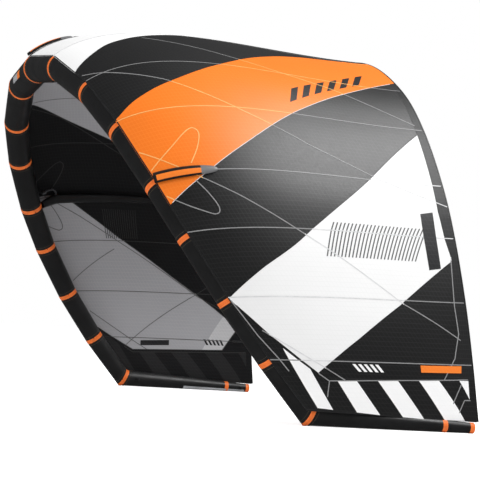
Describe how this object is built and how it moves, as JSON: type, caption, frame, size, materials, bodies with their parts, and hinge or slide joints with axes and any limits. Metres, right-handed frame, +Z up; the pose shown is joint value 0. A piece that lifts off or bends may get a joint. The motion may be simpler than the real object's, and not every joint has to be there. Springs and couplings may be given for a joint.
{
  "type": "inflatable kitesurf kite",
  "caption": "Arched inflatable traction kite: segmented leading edge tube, three struts, panelled canopy, valves and line loops.",
  "frame": {"origin": "middle of the footprint between the wing tips, level with the underside of the tip tubes; X = 0 is the kite's plane of symmetry", "axes": "+X along the span, +Y from the leading edge to the trailing edge, +Z up to the crown"},
  "size_m": [3.4794, 2.057, 2.0441],
  "materials": {
    "tube_dacron": "satin polyester sleeve",
    "seam_tape": "orange seam tape",
    "tip_cap": "orange cap",
    "bladder_film": "clear film",
    "canopy_cloth": "coated ripstop polyester in sewn colour panels",
    "hem_tape": "woven tape",
    "strut_dacron": "satin polyester sleeve",
    "nose_cover": "moulded cover",
    "hose": "clear ribbed tube",
    "clamp_plastic": "moulded",
    "lever_plastic": "moulded",
    "valve_rubber": "moulded",
    "valve_cap": "moulded",
    "webbing": "woven strap",
    "batten_rod": "fibre rod"
  },
  "bodies": {
    "root": {"le_left_1": "tube_dacron", "le_left_2": "tube_dacron", "le_left_3": "tube_dacron", "le_left_4": "tube_dacron", "le_left_5": "tube_dacron", "le_left_6": "tube_dacron", "le_left_7": "tube_dacron", "le_left_8": "tube_dacron", "le_right_1": "tube_dacron", "le_right_2": "tube_dacron", "le_right_3": "tube_dacron", "le_right_4": "tube_dacron", "le_right_5": "tube_dacron", "le_right_6": "tube_dacron", "le_right_7": "tube_dacron", "le_right_8": "tube_dacron", "tip_tube_left": "tube_dacron", "tip_tube_right": "tube_dacron", "tip_caps": "tip_cap", "seam_bands_left": "seam_tape", "seam_bands_right": "seam_tape", "seam_band_center": "seam_tape", "le_bladder": "bladder_film", "canopy_left_1": "canopy_cloth", "canopy_left_2": "canopy_cloth", "canopy_left_3": "canopy_cloth", "canopy_left_4": "canopy_cloth", "canopy_left_5": "canopy_cloth", "canopy_left_6": "canopy_cloth", "canopy_left_7": "canopy_cloth", "canopy_left_8": "canopy_cloth", "canopy_right_1": "canopy_cloth", "canopy_right_2": "canopy_cloth", "canopy_right_3": "canopy_cloth", "canopy_right_4": "canopy_cloth", "canopy_right_5": "canopy_cloth", "canopy_right_6": "canopy_cloth", "canopy_right_7": "canopy_cloth", "canopy_right_8": "canopy_cloth", "trailing_hem_left": "hem_tape", "trailing_hem_right": "hem_tape", "strut_center": "strut_dacron", "strut_left": "strut_dacron", "strut_right": "strut_dacron", "strut_bladders": "bladder_film", "nose_center": "nose_cover", "nose_left": "nose_cover", "nose_right": "nose_cover", "air_hoses": "hose", "hose_clamps": "clamp_plastic", "inflate_valve": "valve_rubber", "dump_valve": "valve_rubber", "line_loops": "webbing", "trailing_battens": "batten_rod"},
    "clamp_lever_center": {"clamp_lever_center": "lever_plastic"},
    "clamp_lever_left": {"clamp_lever_left": "lever_plastic"},
    "clamp_lever_right": {"clamp_lever_right": "lever_plastic"},
    "inflate_cap": {"inflate_cap": "valve_cap"},
    "dump_cap": {"dump_cap": "valve_cap"}
  },
  "joints": [
    {"name": "clamp_lever_center_hinge", "type": "hinge", "parent": "root", "child": "clamp_lever_center", "pos_m": [-0.08291, -0.87287, 1.8439], "axis": [-1, -0.0003, 0.0024], "range_deg": [0, 95]},
    {"name": "clamp_lever_left_hinge", "type": "hinge", "parent": "root", "child": "clamp_lever_left", "pos_m": [-1.38478, -0.56138, 1.19277], "axis": [-0.5333, 0.0781, -0.8423], "range_deg": [0, 95]},
    {"name": "clamp_lever_right_hinge", "type": "hinge", "parent": "root", "child": "clamp_lever_right", "pos_m": [1.38478, -0.56138, 1.19277], "axis": [-0.5333, -0.0781, 0.8423], "range_deg": [0, 95]},
    {"name": "inflate_cap_hinge", "type": "hinge", "parent": "root", "child": "inflate_cap", "pos_m": [0.21913, -0.8478, 1.80038], "axis": [-0.9942, -0.0391, 0.1005], "range_deg": [0, 150]},
    {"name": "dump_cap_hinge", "type": "hinge", "parent": "root", "child": "dump_cap", "pos_m": [1.55657, -0.32581, 0.75735], "axis": [-0.2526, -0.53, 0.8095], "range_deg": [0, 150]}
  ]
}
